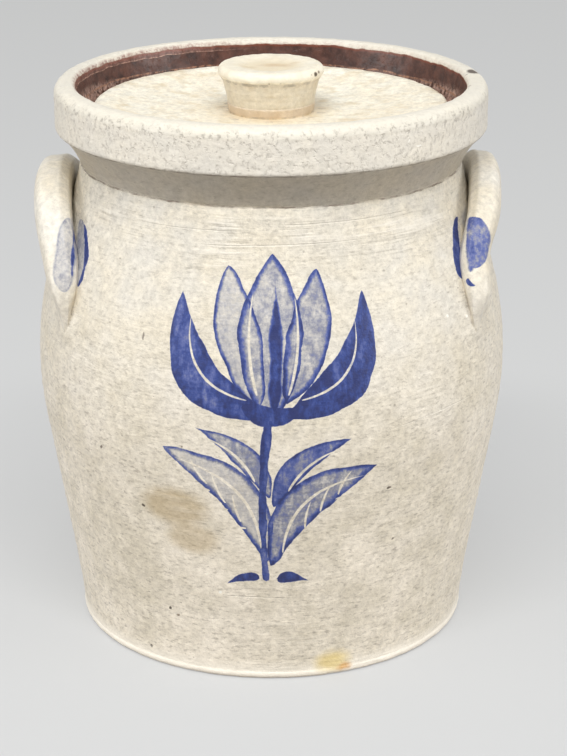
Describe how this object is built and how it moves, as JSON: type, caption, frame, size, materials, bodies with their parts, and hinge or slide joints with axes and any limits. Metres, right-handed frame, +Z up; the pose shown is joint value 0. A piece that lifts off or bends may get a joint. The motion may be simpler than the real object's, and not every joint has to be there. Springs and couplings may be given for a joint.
{
  "type": "rumtopf pot",
  "caption": "Lidded stoneware rumtopf pot: rounded thrown crock with a thick rim band, an inner lid ledge, two upright ear handles and an inset dished lid with a waisted knob.",
  "frame": {"origin": "middle of the foot, on the surface the pot stands on", "axes": "+Z up along the pot's axis; the handles stand at -X and +X; the decorated front faces -Y"},
  "size_m": [0.1954, 0.1954, 0.2352],
  "materials": {
    "salt_glazed_stoneware": "pale grey-cream salt glaze with fine orange-peel texture and brown specks; dark brown slip glaze inside the rim and the pot; blue brushed decoration on the front",
    "lid_stoneware": "warm white salt glaze, lightly mottled"
  },
  "bodies": {
    "pot": {"crock_body": "salt_glazed_stoneware", "left_handle": "salt_glazed_stoneware", "right_handle": "salt_glazed_stoneware"},
    "lid": {"lid": "lid_stoneware", "lid_knob": "lid_stoneware"}
  },
  "joints": [
    {"name": "lid_lift", "type": "slide", "parent": "pot", "child": "lid", "axis": [0, 0, 1], "range_m": [0, 0.1]}
  ]
}
